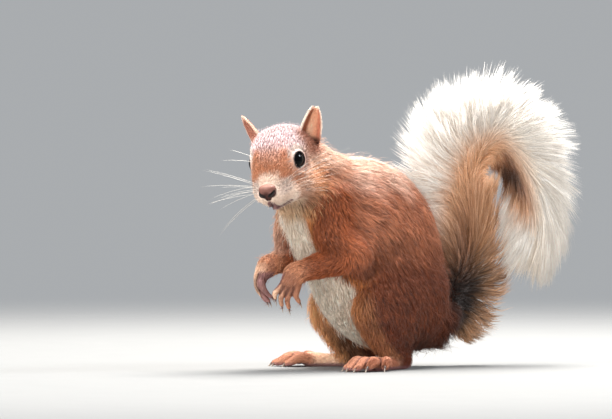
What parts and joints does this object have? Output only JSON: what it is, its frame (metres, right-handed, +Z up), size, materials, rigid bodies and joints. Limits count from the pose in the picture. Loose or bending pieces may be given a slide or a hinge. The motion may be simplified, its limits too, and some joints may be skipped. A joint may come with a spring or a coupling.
{
  "type": "red squirrel",
  "caption": "Life-size still model of a red squirrel sitting up on its hind feet, hands held in front of its chest and bushy tail arched over behind the back.",
  "frame": {"origin": "on the floor under the middle of the model's box", "axes": "+Z up, the animal faces -X, its left side is toward -Y"},
  "size_m": [0.2232, 0.1074, 0.1683],
  "materials": {
    "coat": "matte",
    "bare_skin": "matte",
    "ear": "matte",
    "plume": "matte",
    "nose": "satin",
    "eye": "polished",
    "claw": "satin"
  },
  "bodies": {
    "root": {"claw_foot_l_1": "claw", "claw_foot_l_2": "claw", "claw_foot_l_3": "claw", "claw_foot_l_4": "claw", "claw_foot_l_5": "claw", "claw_foot_r_1": "claw", "claw_foot_r_2": "claw", "claw_foot_r_3": "claw", "claw_foot_r_4": "claw", "claw_foot_r_5": "claw", "claw_hand_l_1": "claw", "claw_hand_l_2": "claw", "claw_hand_l_3": "claw", "claw_hand_l_4": "claw", "claw_hand_r_1": "claw", "claw_hand_r_2": "claw", "claw_hand_r_3": "claw", "claw_hand_r_4": "claw", "ear_l": "ear", "ear_r": "ear", "eye_l": "eye", "eye_r": "eye", "foot_l": "bare_skin", "foot_r": "bare_skin", "forearm_l": "coat", "forearm_r": "coat", "hand_l": "bare_skin", "hand_r": "bare_skin", "head": "coat", "neck": "coat", "nose": "nose", "shank_l": "coat", "shank_r": "coat", "tail_base": "plume", "tail_crown_back": "plume", "tail_crown_front": "plume", "tail_fall": "plume", "tail_rise": "plume", "thigh_l": "coat", "thigh_r": "coat", "trunk": "coat", "upper_arm_l": "coat", "upper_arm_r": "coat"}
  },
  "joints": []
}
